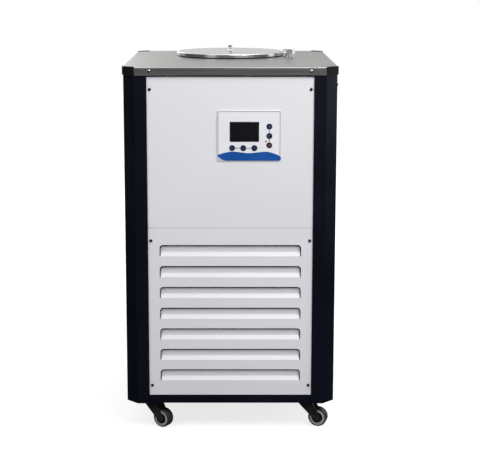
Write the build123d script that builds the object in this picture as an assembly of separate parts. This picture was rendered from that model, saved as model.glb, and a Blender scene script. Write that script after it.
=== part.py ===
"""Low temperature circulator: a floor-standing chiller cabinet on casters with a lidded bath in its top.

Millimetres. X runs to the right, Y from the front to the rear, Z up, with the floor at zero.
"""

import math
import os

from build123d import *

# Cabinet
cabinet_width = 550.0
cabinet_depth = 650.0
cabinet_height = 890.0
caster_height = 74.0

# Sheet metal and the clearances that pieces are fitted with
post_sheet = 2.0
panel_sheet = 1.5
floor_sheet = 2.0
top_sheet = 1.5
seat_gap = 0.3
press_gap = 0.05
running_gap = 0.05
facing_gap = 0.7
bend_radius = 3.0
fold_radius = 0.2

# Corner posts
post_chamfer = 30.0
post_face = 31.0
landing_width = 18.0
panel_recess = 5.0

# Corner caps
cap_height = 20.0
cap_wall = 2.6
cap_lip = 8.0
cap_rise = 1.5

# Top plate
skirt_height = 20.0
skirt_screw_drop = 9.0

# Front panels, as drops below the top plate
upper_panel_drop = 24.0
seam_drop = 416.0
kick_rail_height = 22.0
panel_return = 11.0

# Screws
screw_radius = 2.0
screw_hole_radius = 2.2
screw_length = 9.0
screw_head_radius = 4.0
screw_head_height = 2.6
screw_edge_inset = 7.7
upper_screw_drop = 56.0
lower_screw_inset = 27.0
lower_screw_top_inset = 34.0
post_screw_drop = 47.0
post_screw_inset = 42.0

# Louvres: a tab sheared on three sides, bent inwards and straight again
louvre_count = 7
louvre_pitch = 56.0
louvre_side_inset = 29.7
louvre_height = 30.0
louvre_corner = 9.0
louvre_kerf = 2.5
louvre_rise = 10.0
louvre_inset = 8.0
louvre_tail = 14.7
louvre_first_drop = 45.0
side_louvre_count = 6
side_louvre_inset = 63.7
side_louvre_bottom = 130.0
rear_louvre_count = 4
rear_louvre_inset = 63.7
rear_louvre_bottom = 170.0

# Control fascia, on the upper front panel
fascia_width = 163.5
fascia_height = 129.0
fascia_sheet = 3.0
fascia_corner = 3.0
fascia_x = 48.0
fascia_drop = 174.5
display_width = 75.0
display_height = 51.0
display_x = 36.0
display_drop = 164.5
display_proud = 0.4
button_radius = 7.5
button_proud = 1.2
button_travel = 0.8
button_clearance = 0.2
button_edge = 0.8
row_button_x = (4.7, 33.2, 61.8)
row_button_drop = 206.5
column_button_x = 100.0
column_button_drops = (151.0, 175.2, 199.3)

# Bath, its lid and the filling port
bath_depth_in = 452.0
bath_radius = 125.0
bath_wall = 1.5
bath_height = 300.0
bath_flange = 12.0
lid_radius = 153.0
lid_height = 9.5
lid_wall = 1.2
gasket_height = 3.0
gasket_width = 14.0
gasket_inset = 3.0
knob_radius = 7.0
knob_waist = 5.2
knob_height = 18.0
port_x = 166.0
port_depth_in = 386.0
port_bore = 8.0
port_neck_radius = 11.0
port_flange_radius = 15.0
port_flange_height = 3.0
port_neck_height = 9.0
port_neck_below = 12.0
plug_across_flats = 30.0
plug_height = 15.5
plug_stem_length = 8.0

# Insulation and evaporator coil
coil_tube_radius = 5.0
coil_pitch = 24.0
coil_turns = 6
coil_start_rise = 40.0
insulation_wall = 35.4
insulation_base = 32.0

# Condenser and fan
condenser_width = 370.0
condenser_depth_in = 30.0
condenser_thickness = 40.0
condenser_base_rise = 26.0
condenser_core_height = 325.0
condenser_end = 2.0
fin_count = 30
fin_groove = 14.0
shroud_width = 340.0
shroud_sheet = 1.7
collar_radius = 131.0
collar_wall = 2.0
collar_length = 25.0
fan_radius = 123.0
fan_hub_radius = 28.0
fan_hub_length = 24.0
fan_hub_offset = 5.0
fan_blade_count = 5
fan_blade_width = 62.0
fan_blade_sheet = 2.4
fan_blade_pitch = 28.0
fan_blade_root = 4.0
fan_shaft_radius = 4.0
motor_radius = 42.0
motor_length = 70.0
motor_bar_height = 20.0
motor_bar_sheet = 3.0
motor_bar_half = 152.0
motor_post_radius = 5.0
motor_gap = 6.0

# Compressor
compressor_x = 110.0
compressor_depth_in = 430.0
compressor_radius = 78.0
compressor_height = 205.0
compressor_edge = 26.0
compressor_foot_height = 18.0
compressor_foot_radius = 12.0
compressor_plate = 3.0
compressor_plate_width = 190.0
compressor_plate_depth = 150.0

# Circulation pump
pump_x = -90.0
pump_depth_in = 500.0
pump_head_radius = 55.0
pump_head_length = 40.0
pump_motor_radius = 48.0
pump_motor_length = 140.0
pump_axis_rise = 62.0
pump_foot_width = 80.0
pump_foot_sheet = 5.0

# Pipes
coolant_pipe_radius = 9.0
coolant_pipe_wall = 1.5
return_x = 10.0
riser_depth_in = 592.0
refrigerant_pipe_radius = 5.0
discharge_offset = 30.0
discharge_rise = 50.0
discharge_x = 207.0
discharge_bend = 11.0

# Rear connections, as heights above the floor
nozzle_z = 560.0
nozzle_radius = 9.5
nozzle_bore = 6.5
nozzle_flats = 27.0
nozzle_flange_height = 8.0
nozzle_reach = 32.0
nozzle_tail = 10.0
drain_x = -125.0
drain_z = 112.0
drain_pipe_radius = 8.0
valve_radius = 11.0
valve_flats = 24.0
valve_reach = 44.0
valve_bore = 6.0
valve_body_length = 26.0
stem_radius = 4.0
stem_height = 17.0
lever_length = 52.0
lever_width = 12.0
lever_sheet = 3.0
inlet_x = 180.0
inlet_z = 150.0
inlet_flats = 27.0
inlet_radius = 10.0
inlet_bore = 5.5
inlet_flange_height = 6.0
inlet_dome_height = 16.0

# Electrical box
box_side_margin = 58.25
box_depth = 100.0
box_height = 180.0
box_drop = 80.0

# Casters
caster_side_inset = 69.0
caster_depth_in = 48.0
caster_plate_side = 62.0
caster_plate_sheet = 2.5
race_radius = 20.0
race_height = 7.0
wheel_radius = 25.0
wheel_width = 25.0
tyre_edge = 4.0
hub_radius = 20.5
hub_inner_radius = 14.5
hub_recess = 3.0
caster_trail = 31.0
fork_sheet = 2.5
fork_top_radius = 19.0
fork_boss_radius = 9.0
fork_side_gap = 0.7
axle_radius = 4.0
axle_head_radius = 6.5
axle_head_height = 2.0
king_radius = 5.0
king_head_height = 1.5
front_left_turn = -31.0
front_right_turn = -16.0
rear_left_turn = 24.0
rear_right_turn = -38.0

# Worked out from the sizes above
half_width = cabinet_width / 2
half_depth = cabinet_depth / 2
front_y = -half_depth
rear_y = half_depth
base_z = caster_height
floor_z = base_z + floor_sheet
top_z = base_z + cabinet_height
under_top_z = top_z - top_sheet
face_x = half_width - post_chamfer
panel_edge_x = face_x - post_face
panel_edge_y = half_depth - post_chamfer - post_face
landing_depth = panel_recess + panel_sheet
skirt_proud = seat_gap + top_sheet
front_reach = max(skirt_proud, cap_wall)
rear_reach = valve_reach
centre_shift = (front_reach - rear_reach) / 2
panel_front_y = front_y + panel_recess
panel_back_y = panel_front_y + panel_sheet
kick_top_z = base_z + kick_rail_height
screw_x = panel_edge_x - screw_edge_inset
rear_panel_y = rear_y - panel_recess
bath_y = front_y + bath_depth_in
bath_outer = bath_radius + bath_wall
tank_bottom_z = under_top_z - bath_height
coil_radius = bath_outer + seat_gap + coil_tube_radius
insulation_bore = coil_radius + coil_tube_radius + seat_gap
insulation_side = 2 * (insulation_bore + insulation_wall)
insulation_bottom_z = tank_bottom_z - insulation_base
condenser_y = front_y + condenser_depth_in
shroud_y = condenser_y + condenser_thickness
fan_z = floor_z + condenser_base_rise + condenser_core_height / 2
fan_y = shroud_y + shroud_sheet + fan_hub_offset
motor_y = shroud_y + shroud_sheet + collar_length + motor_gap
compressor_y = front_y + compressor_depth_in
compressor_plate_z = floor_z + compressor_foot_height
compressor_top_z = compressor_plate_z + compressor_plate + compressor_height
pump_y = front_y + pump_depth_in
pump_z = floor_z + pump_axis_rise
box_width = fascia_width + 2 * box_side_margin
caster_x = half_width - caster_side_inset
axle_z = wheel_radius
fork_top_z = caster_height - caster_plate_sheet - race_height - seat_gap


def block(x0, x1, y0, y1, z0, z1):
    """A block between two corners."""
    return Pos((x0 + x1) / 2, (y0 + y1) / 2, (z0 + z1) / 2) * Box(x1 - x0, y1 - y0, z1 - z0)


def column(x, y, z0, z1, radius):
    """An upright cylinder."""
    return Pos(x, y, (z0 + z1) / 2) * Cylinder(radius, z1 - z0)


def shaft(x, z, y0, y1, radius):
    """A cylinder that runs from front to rear."""
    return Pos(x, (y0 + y1) / 2, z) * Rot(90, 0, 0) * Cylinder(radius, y1 - y0)


def hexagon(x, z, y0, y1, across_flats):
    """A hexagonal bar that runs from front to rear."""
    bar = extrude(RegularPolygon(across_flats / math.sqrt(3), 6), amount=y1 - y0)
    return Pos(x, y1, z) * Rot(90, 0, 0) * bar


def prism(points, z0, z1):
    """An upright prism over a closed outline."""
    face = make_face(Polyline(*points, close=True))
    return Pos(0, 0, z0) * extrude(face, amount=z1 - z0, dir=(0, 0, 1))


def folded(points, radii, sheet, z0, z1):
    """A sheet folded along an open outline, one radius to each bend, with its thickness to the right."""
    line = FilletPolyline(*points, radius=radii)
    face = make_face(offset(line, amount=sheet, side=Side.RIGHT).edges())
    return Pos(0, 0, z0) * extrude(face, amount=z1 - z0, dir=(0, 0, 1))


def tube(points, radius, bend, wall=0.0):
    """A round pipe along straight runs joined by bends."""
    path = FilletPolyline(*points, radius=bend) if len(points) > 2 else Line(*points)
    start = Plane(origin=path @ 0, z_dir=path % 0)
    section = start * Circle(radius)
    if wall:
        section -= start * Circle(radius - wall)
    return sweep(section, path=path)


def ring(x, y, z0, z1, outer, inner):
    """An upright ring."""
    return column(x, y, z0, z1, outer) - column(x, y, z0 - 1, z1 + 1, inner)


def four_corners(shape):
    """A front left piece, copied to all four corners."""
    left = [shape, mirror(shape, about=Plane.XZ)]
    return left + [mirror(piece, about=Plane.YZ) for piece in left]


def corner_plan(grow=0.0, cut=0.0):
    """The cabinet's outline with its four chamfered corners, grown outwards and cut back along the chamfers."""
    x, y = half_width + grow, half_depth + grow
    c = post_chamfer + grow * (2 - math.sqrt(2)) + cut * math.sqrt(2)
    return [(-x + c, -y), (x - c, -y), (x, -y + c), (x, y - c),
            (x - c, y), (-x + c, y), (-x, y - c), (-x, -y + c)]


# Screws

def pan_screw():
    """A pan head screw that enters along +Y, with the underside of its head at the origin."""
    r, h = screw_head_radius, screw_head_height
    outline = Polyline((0, -screw_length), (screw_radius, -screw_length), (screw_radius, 0), (r, 0),
                       (r, 0.3 * h), (0.82 * r, 0.75 * h), (0.45 * r, h), (0, h), close=True)
    return Rot(90, 0, 0) * revolve(Plane.XZ * make_face(outline), axis=Axis.Z)


def front_screw_places():
    """Where screws hold the two front panels, as x and z."""
    lower_top = top_z - seam_drop - lower_screw_top_inset
    rows = (top_z - upper_screw_drop, lower_top, kick_top_z + lower_screw_inset)
    return [(side * screw_x, z) for z in rows for side in (-1, 1)]


def edge_screw_rows():
    """The heights at which the side and rear panels are screwed."""
    low = kick_top_z + lower_screw_inset
    high = top_z - upper_screw_drop
    return (low, (low + high) / 2, high)


def side_screw_y():
    """How far from the middle the side panels' screws stand."""
    return panel_edge_y - (panel_edge_x - screw_x)


def panel_screws():
    """Every black screw: front and rear panels, side panels and the two on the right posts."""
    screw = pan_screw()
    found = [Pos(x, panel_front_y, z) * screw for x, z in front_screw_places()]
    for z in edge_screw_rows():
        for side in (-1, 1):
            found.append(Pos(side * screw_x, rear_panel_y, z) * Rot(0, 0, 180) * screw)
            for end in (-1, 1):
                found.append(Pos(side * (half_width - panel_recess), end * side_screw_y(), z)
                             * Rot(0, 0, 90 * side) * screw)
    for end in (-1, 1):
        y = end * (half_depth - post_screw_inset)
        found.append(Pos(half_width, y, top_z - post_screw_drop) * Rot(0, 0, 90) * screw)
    return Compound(children=found)


def skirt_screws():
    """The two stainless screws in the front skirt."""
    y = front_y - skirt_proud
    return Compound(children=[Pos(side * screw_x, y, top_z - skirt_screw_drop) * pan_screw()
                              for side in (-1, 1)])


# Cabinet frame

def base_tray():
    """The floor with its corners cut like the posts, and folded rails between the posts."""
    tray = prism(corner_plan(), base_z, floor_z)
    deep = panel_recess
    long_x, long_y = panel_edge_x - seat_gap, panel_edge_y - seat_gap
    for end in (-1, 1):
        y = end * (half_depth - deep)
        tray -= block(-panel_edge_x, panel_edge_x, min(y, 2 * y), max(y, 2 * y), 0, top_z)
        tray += block(-long_x, long_x, min(y, y - end * panel_sheet),
                      max(y, y - end * panel_sheet), base_z, kick_top_z)
    for side in (-1, 1):
        x = side * (half_width - deep)
        tray -= block(min(x, 2 * x), max(x, 2 * x), -panel_edge_y, panel_edge_y, 0, top_z)
        tray += block(min(x, x - side * panel_sheet), max(x, x - side * panel_sheet),
                      -long_y, long_y, base_z, kick_top_z)
    return tray


def post():
    """The front left post: one sheet folded round the corner, with a landing for each panel."""
    x, y = -half_width, front_y
    landing_x = -panel_edge_x + landing_width
    landing_y = -panel_edge_y + landing_width
    points = [(landing_x, y + landing_depth), (-panel_edge_x, y + landing_depth), (-panel_edge_x, y),
              (-face_x, y), (x, y + post_chamfer), (x, -panel_edge_y),
              (x + landing_depth, -panel_edge_y), (x + landing_depth, landing_y)]
    radii = [fold_radius, bend_radius, bend_radius, bend_radius, bend_radius, fold_radius]
    return folded(points, radii, post_sheet, floor_z, under_top_z)


def posts():
    """Front left, rear left, front right and rear right, with their screw holes."""
    made = four_corners(post())
    front = [shaft(px, pz, front_y - 1, front_y + 30, screw_hole_radius) for px, pz in front_screw_places()]
    rear = [shaft(side * screw_x, pz, rear_y - 30, rear_y + 1, screw_hole_radius)
            for pz in edge_screw_rows() for side in (-1, 1)]
    sides = []
    for side in (-1, 1):
        for end in (-1, 1):
            for z in edge_screw_rows():
                sides.append(Pos(side * half_width, end * side_screw_y(), z)
                             * Rot(0, 90, 0) * Cylinder(screw_hole_radius, 40))
    for end in (-1, 1):
        sides.append(Pos(half_width, end * (half_depth - post_screw_inset), top_z - post_screw_drop)
                     * Rot(0, 90, 0) * Cylinder(screw_hole_radius, 40))
    skirt = [shaft(side * screw_x, top_z - skirt_screw_drop, front_y - 3, front_y + 30, screw_hole_radius)
             for side in (-1, 1)]
    names = ("post_front_left", "post_rear_left", "post_front_right", "post_rear_right")
    cutters = front + rear + sides + skirt
    result = {}
    for name, piece in zip(names, made):
        size = piece.bounding_box()
        near = [c for c in cutters if size.min.X - 5 < c.center().X < size.max.X + 5
                and size.min.Y - 5 < c.center().Y < size.max.Y + 18]
        result[name] = piece - near
    return result


def corner_caps():
    """Four moulded caps, each wrapped round a post's chamfered top end."""
    outer = prism(corner_plan(grow=cap_wall), top_z - cap_height, top_z + cap_rise)
    inside = prism(corner_plan(), 0, under_top_z)
    lip = prism(corner_plan(cut=cap_lip), 0, 2 * top_z)
    shell = outer - inside - lip
    big = 2 * cabinet_depth
    keep = block(-big, -face_x, -big, front_y + post_chamfer, 0, 2 * top_z)
    return Compound(children=four_corners(shell & keep))


def top_plate():
    """The stainless top: one sheet with its corners cut for the caps and a skirt folded down on each side."""
    plate = prism(corner_plan(cut=cap_lip + seat_gap), under_top_z, top_z)
    reach_x, reach_y = half_width + skirt_proud, half_depth + skirt_proud
    span_x, span_y = face_x - seat_gap, half_depth - post_chamfer - seat_gap
    low = top_z - skirt_height
    for end in (-1, 1):
        near, far = end * (half_depth + seat_gap), end * reach_y
        plate += block(-span_x, span_x, min(near, far), max(near, far), low, top_z)
        plate += block(-span_x, span_x, min(end * half_depth - end * cap_lip, far),
                       max(end * half_depth - end * cap_lip, far), under_top_z, top_z)
    for side in (-1, 1):
        near, far = side * (half_width + seat_gap), side * reach_x
        plate += block(min(near, far), max(near, far), -span_y, span_y, low, top_z)
        plate += block(min(side * half_width - side * cap_lip, far),
                       max(side * half_width - side * cap_lip, far), -span_y, span_y, under_top_z, top_z)
    folds = [e for e in plate.edges().filter_by(GeomType.LINE)
             if abs(e.center().Z - top_z) < 0.01
             and (abs(abs(e.center().X) - reach_x) < 0.01 or abs(abs(e.center().Y) - reach_y) < 0.01)]
    plate = fillet(folds, radius=top_sheet * 0.9)
    plate -= column(0, bath_y, 0, 2 * top_z, bath_radius)
    plate -= column(port_x, front_y + port_depth_in, 0, 2 * top_z, port_neck_radius + seat_gap)
    for side in (-1, 1):
        plate -= shaft(side * screw_x, top_z - skirt_screw_drop, front_y - 5, front_y + 5, screw_hole_radius)
    return plate


# Panels

def louvre_window(width):
    """The hole of one louvre, with its lower edge on the X axis."""
    outline = Pos(0, louvre_height / 2) * Rectangle(width, louvre_height)
    return fillet(outline.vertices().group_by(Axis.Y)[-1], radius=louvre_corner)


def louvre_tab(width):
    """The tab of one louvre, bent inwards from the lower edge of its hole, in a panel that faces -Y."""
    inner = panel_sheet
    rise, inset, tail = louvre_rise, louvre_inset, louvre_tail
    profile = Polyline((0, -1), (0, 0), (inset, rise), (inset, rise + tail),
                       (inset + inner, rise + tail), (inset + inner, rise), (inner, 0), (inner, -1), close=True)
    half = width / 2 - louvre_kerf
    tab = Pos(-half, 0, 0) * extrude(Plane.YZ * make_face(profile), amount=2 * half, dir=(1, 0, 0))
    ends = [e for e in tab.edges().filter_by(Axis.Y) if e.center().Z > rise + tail - 0.1]
    return fillet(ends, radius=louvre_corner - louvre_kerf)


def panel(width, height, holes, louvre_z=(), louvre_span=0.0):
    """A panel that faces -Y, its lower left corner's outside at (-width / 2, 0, 0): a sheet with a folded return
    at top and bottom, screw holes and louvres."""
    sheet = block(-width / 2, width / 2, 0, panel_sheet, 0, height)
    back = width / 2 - landing_width - seat_gap
    for low in (0, height - panel_sheet):
        sheet += block(-back, back, panel_sheet / 2, panel_return, low, low + panel_sheet)
    for z in louvre_z:
        window = Plane.XZ * louvre_window(louvre_span)
        sheet -= Pos(0, -1, z) * extrude(window, amount=panel_sheet + 2, dir=(0, 1, 0))
    for z in louvre_z:
        sheet += Pos(0, 0, z) * louvre_tab(louvre_span)
    for x, z in holes:
        sheet -= shaft(x, z, -1, panel_sheet + 1, screw_hole_radius)
    return sheet


def front_panels():
    """The plain upper panel and the louvred lower one."""
    width = 2 * (panel_edge_x - seat_gap)
    low = top_z - seam_drop + facing_gap / 2
    height = top_z - upper_panel_drop - low
    holes = [(x, z - low) for x, z in front_screw_places() if z > low]
    upper = Pos(0, panel_front_y, low) * panel(width, height, holes)
    base = kick_top_z + facing_gap
    height = top_z - seam_drop - facing_gap / 2 - base
    holes = [(x, z - base) for x, z in front_screw_places() if z < low]
    first = height - louvre_first_drop - louvre_height
    louvres = [first - n * louvre_pitch for n in range(louvre_count)]
    lower = Pos(0, panel_front_y, base) * panel(width, height, holes, louvres, 2 * (panel_edge_x - louvre_side_inset))
    return upper, lower


def side_panels():
    """The left and right panels, each with a bank of louvres low down."""
    width = 2 * (panel_edge_y - seat_gap)
    base = kick_top_z + facing_gap
    height = top_z - upper_panel_drop - base
    holes = [(end * side_screw_y(), z - base) for z in edge_screw_rows() for end in (-1, 1)]
    louvres = [side_louvre_bottom + n * louvre_pitch for n in range(side_louvre_count)]
    made = panel(width, height, holes, louvres, 2 * (panel_edge_y - side_louvre_inset))
    x = half_width - panel_recess
    left = Pos(-x, 0, base) * Rot(0, 0, -90) * made
    right = Pos(x, 0, base) * Rot(0, 0, 90) * made
    return left, right


def rear_panel():
    """The rear panel, with louvres and holes for the hose nozzles, the drain and the power inlet."""
    width = 2 * (panel_edge_x - seat_gap)
    base = kick_top_z + facing_gap
    height = top_z - upper_panel_drop - base
    holes = [(side * screw_x, z - base) for z in edge_screw_rows() for side in (-1, 1)]
    louvres = [rear_louvre_bottom + n * louvre_pitch for n in range(rear_louvre_count)]
    made = panel(width, height, holes, louvres, 2 * (panel_edge_x - rear_louvre_inset))
    made = Pos(0, rear_panel_y, base) * Rot(0, 0, 180) * made
    for x, z, radius in ((pump_x, nozzle_z, nozzle_radius), (return_x, nozzle_z, nozzle_radius),
                         (drain_x, drain_z, valve_radius), (inlet_x, inlet_z, inlet_radius)):
        made -= shaft(x, z, rear_panel_y - 3, rear_panel_y + 1, radius + seat_gap)
    return made


# Controls

def button_places():
    """Where the buttons stand, as name, x and z."""
    row = [(f"button_row_{n + 1}", x, top_z - row_button_drop) for n, x in enumerate(row_button_x)]
    tall = [(f"button_column_{n + 1}", column_button_x, top_z - drop)
            for n, drop in enumerate(column_button_drops)]
    return row + tall


def control_fascia():
    """The plate round the display and the buttons."""
    z = top_z - fascia_drop
    outline = fillet(Rectangle(fascia_width, fascia_height).vertices(), radius=fascia_corner)
    plate = Pos(fascia_x, panel_front_y, z) * extrude(Plane.XZ * outline, amount=fascia_sheet, dir=(0, -1, 0))
    half_w, half_h = display_width / 2 + seat_gap, display_height / 2 + seat_gap
    centre = top_z - display_drop
    plate -= block(display_x - half_w, display_x + half_w, front_y - 5, front_y + 30,
                   centre - half_h, centre + half_h)
    for _, x, pz in button_places():
        plate -= shaft(x, pz, front_y - 5, front_y + 30, button_radius + button_clearance)
    return plate


def display_window():
    """The dark window, seated in the fascia."""
    y = panel_front_y - fascia_sheet - display_proud
    z = top_z - display_drop
    return block(display_x - display_width / 2, display_x + display_width / 2, y, panel_front_y,
                 z - display_height / 2, z + display_height / 2)


def button(x, z):
    """One round button with a softened edge and room behind it to be pressed."""
    outer = panel_front_y - fascia_sheet - button_proud
    inner = panel_front_y - button_travel - running_gap
    made = shaft(x, z, outer, inner, button_radius)
    return chamfer(made.edges().sort_by(Axis.Y)[0], length=button_edge)


# Bath

def bath_tank():
    """The open stainless tank, hung from its flange under the top plate."""
    tank = column(0, bath_y, tank_bottom_z, under_top_z, bath_outer)
    tank -= column(0, bath_y, tank_bottom_z + bath_wall, 2 * top_z, bath_radius)
    tank += ring(0, bath_y, under_top_z - bath_wall, under_top_z, bath_outer + bath_flange, bath_radius)
    return tank


def tank_insulation():
    """The foam block round the tank and its coil, with ways through its base for the pipes."""
    half = insulation_side / 2
    top = under_top_z - bath_wall - seat_gap
    foam = block(-half, half, bath_y - half, bath_y + half, insulation_bottom_z, top)
    foam -= column(0, bath_y, tank_bottom_z - seat_gap, top_z, insulation_bore)
    for x in (pump_x, return_x):
        foam -= column(x, pump_y, 0, top_z, coolant_pipe_radius + seat_gap)
    foam -= column(coil_radius, bath_y, 0, tank_bottom_z, refrigerant_pipe_radius + seat_gap)
    return foam - column(port_x, front_y + port_depth_in, top_z - port_neck_below - seat_gap, top_z,
                         port_neck_radius + seat_gap)


def evaporator_coil():
    """The coil wound round the tank."""
    path = Helix(coil_pitch, coil_pitch * coil_turns, coil_radius)
    path = Pos(0, bath_y, tank_bottom_z + coil_start_rise) * path
    section = Plane(origin=path @ 0, z_dir=path % 0) * Circle(coil_tube_radius)
    return sweep(section, path=path)


def bath_lid():
    """The lid: a shallow pressed dish, turned down at its rim."""
    low = top_z + gasket_height
    high = low + lid_height
    lid = column(0, bath_y, low, high, lid_radius)
    lid = fillet(lid.edges().sort_by(Axis.Z)[-1], radius=2 * lid_wall)
    reach = lid_radius - gasket_inset - gasket_width
    lid -= column(0, bath_y, low - 1, high - 2 * lid_wall, reach)
    return lid


def lid_gasket():
    """The black ring that the lid rests on."""
    outer = lid_radius - gasket_inset
    return ring(0, bath_y, top_z, top_z + gasket_height, outer, outer - gasket_width)


def lid_knob():
    """A turned knob, waisted under its head."""
    z = top_z + gasket_height + lid_height
    profile = [(0, 0), (knob_radius, 0), (knob_radius, 0.12 * knob_height), (knob_waist, 0.3 * knob_height),
               (knob_waist, 0.45 * knob_height), (knob_radius, 0.65 * knob_height),
               (knob_radius, 0.92 * knob_height), (0.85 * knob_radius, knob_height), (0, knob_height)]
    turned = revolve(Plane.XZ * make_face(Polyline(*profile, close=True)), axis=Axis.Z)
    return Pos(0, bath_y, z) * turned


def port_neck():
    """The filling port: a threaded neck through the plate, with its flange on top."""
    x, y = port_x, front_y + port_depth_in
    neck = column(x, y, top_z - port_neck_below, top_z + port_neck_height, port_neck_radius)
    neck += column(x, y, top_z, top_z + port_flange_height, port_flange_radius)
    neck -= column(x, y, 0, 2 * top_z, port_bore + seat_gap)
    return neck


def port_plug():
    """The hexagonal plug on the port, with a round skirt and a stem in the bore."""
    x, y = port_x, front_y + port_depth_in
    low = top_z + port_neck_height
    bar = extrude(RegularPolygon(plug_across_flats / math.sqrt(3), 6), amount=plug_height)
    dome = revolve(Plane.XZ * make_face(Polyline((0, 0), (0.5 * plug_across_flats, 0),
                                                (0.58 * plug_across_flats, 0.12 * plug_height),
                                                (0.58 * plug_across_flats, 0.85 * plug_height),
                                                (0.46 * plug_across_flats, plug_height),
                                                (0, plug_height), close=True)), axis=Axis.Z)
    plug = Pos(x, y, low) * (bar & dome)
    return plug + column(x, y, low - plug_stem_length, low, port_bore)


# Cooling machinery

def condenser():
    """The finned condenser on its two end plates, behind the front louvres."""
    half = condenser_width / 2
    low = floor_z + condenser_base_rise
    y0, y1 = condenser_y, condenser_y + condenser_thickness
    core = block(-half, half, y0, y1, low, low + condenser_core_height)
    pitch = condenser_width / fin_count
    for n in range(fin_count):
        x = -half + pitch * (n + 0.5)
        core -= block(x - pitch / 4, x + pitch / 4, y0 - 1, y0 + fin_groove,
                      low + pitch, low + condenser_core_height - pitch)
    for side in (-1, 1):
        near, far = side * half, side * (half + condenser_end)
        core += block(min(near, far), max(near, far), y0, y1, floor_z, low + condenser_core_height)
    return core


def fan_shroud():
    """The plate behind the condenser with the collar that the fan turns in."""
    half = shroud_width / 2
    low = floor_z + condenser_base_rise
    plate = block(-half, half, shroud_y, shroud_y + shroud_sheet, low, low + condenser_core_height)
    back = shroud_y + shroud_sheet + collar_length
    plate += shaft(0, fan_z, shroud_y, back, collar_radius + collar_wall)
    return plate - shaft(0, fan_z, shroud_y - 1, back + 1, collar_radius)


def fan_blades():
    """The fan: a hub with pitched blades, bored for the motor's shaft."""
    hub = shaft(0, 0, 0, fan_hub_length, fan_hub_radius)
    length = fan_radius - fan_hub_radius + fan_blade_root
    for n in range(fan_blade_count):
        blade = Pos(0, 0, fan_hub_radius - fan_blade_root + length / 2) * (
            Rot(0, 0, 90 - fan_blade_pitch) * Box(fan_blade_sheet, fan_blade_width * 0.6, length))
        hub += Rot(0, n * 360 / fan_blade_count, 0) * Pos(0, fan_hub_length / 2, 0) * blade
    hub -= shaft(0, 0, -1, fan_hub_length + 1, fan_shaft_radius + running_gap)
    return Pos(0, fan_y, fan_z) * hub


def fan_motor():
    """The fan's motor and shaft, on a bar across the collar and two posts from the shroud."""
    end = motor_y + motor_length
    body = shaft(0, fan_z, motor_y, end, motor_radius)
    body = fillet(body.edges().sort_by(Axis.Y)[-1], radius=motor_radius / 6)
    body += shaft(0, fan_z, fan_y, motor_y, fan_shaft_radius)
    half = motor_bar_half
    body += block(-half, half, motor_y, motor_y + motor_bar_sheet,
                  fan_z - motor_bar_height / 2, fan_z + motor_bar_height / 2)
    for side in (-1, 1):
        x = side * (half - motor_post_radius)
        body += shaft(x, fan_z, shroud_y + shroud_sheet, motor_y + motor_bar_sheet, motor_post_radius)
    return body


def compressor():
    """The hermetic compressor's shell on its base plate."""
    shell = column(compressor_x, compressor_y, compressor_plate_z, compressor_top_z, compressor_radius)
    shell = fillet(shell.edges().sort_by(Axis.Z)[-1], radius=compressor_edge)
    x, y = compressor_plate_width / 2, compressor_plate_depth / 2
    return shell + block(compressor_x - x, compressor_x + x, compressor_y - y, compressor_y + y,
                         compressor_plate_z, compressor_plate_z + compressor_plate)


def compressor_feet():
    """Four rubber feet under the compressor's plate."""
    x = compressor_plate_width / 2 - compressor_foot_radius
    y = compressor_plate_depth / 2 - compressor_foot_radius
    return Compound(children=[column(compressor_x + i * x, compressor_y + j * y, floor_z, compressor_plate_z,
                                     compressor_foot_radius) for i in (-1, 1) for j in (-1, 1)])


def circulation_pump():
    """The pump's head on its foot."""
    y0 = pump_y - pump_head_length / 2
    y1 = pump_y + pump_head_length / 2
    head = shaft(pump_x, pump_z, y0, y1, pump_head_radius)
    head = chamfer(head.edges().sort_by(Axis.Y)[-1], length=pump_head_length / 6)
    half = pump_foot_width / 2
    head += block(pump_x - half, pump_x + half, y0, y1, floor_z, pump_z - pump_head_radius / 2)
    return head


def pump_motor():
    """The pump's motor, in front of its head, on a saddle."""
    y1 = pump_y - pump_head_length / 2
    y0 = y1 - pump_motor_length
    body = shaft(pump_x, pump_z, y0, y1, pump_motor_radius)
    body = fillet(body.edges().sort_by(Axis.Y)[0], radius=pump_motor_radius / 6)
    half = pump_foot_width / 2
    return body + block(pump_x - half, pump_x + half, y0 + half, y1 - half / 2,
                        floor_z, pump_z - pump_motor_radius / 2)


def coolant_pipes():
    """Suction from the tank, delivery to the outlet, the return to the tank, and the drain."""
    r, bend, wall = coolant_pipe_radius, 2.5 * coolant_pipe_radius, coolant_pipe_wall
    inner = rear_panel_y - panel_sheet - nozzle_tail
    riser = front_y + riser_depth_in
    back = pump_y + pump_head_length / 2
    top = pump_z + pump_head_radius
    suction = tube([(pump_x, pump_y, top), (pump_x, pump_y, tank_bottom_z)], r, bend, wall)
    delivery = tube([(pump_x, back, pump_z), (pump_x, riser, pump_z), (pump_x, riser, nozzle_z),
                     (pump_x, inner, nozzle_z)], r, bend, wall)
    back_in = tube([(return_x, inner, nozzle_z), (return_x, pump_y, nozzle_z),
                    (return_x, pump_y, tank_bottom_z)], r, bend, wall)
    valve_inner = rear_panel_y - panel_sheet - nozzle_tail
    drain = tube([(drain_x, back, drain_z), (drain_x, valve_inner, drain_z)], drain_pipe_radius, bend, wall)
    return Compound(children=[suction, delivery, back_in, drain])


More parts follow.
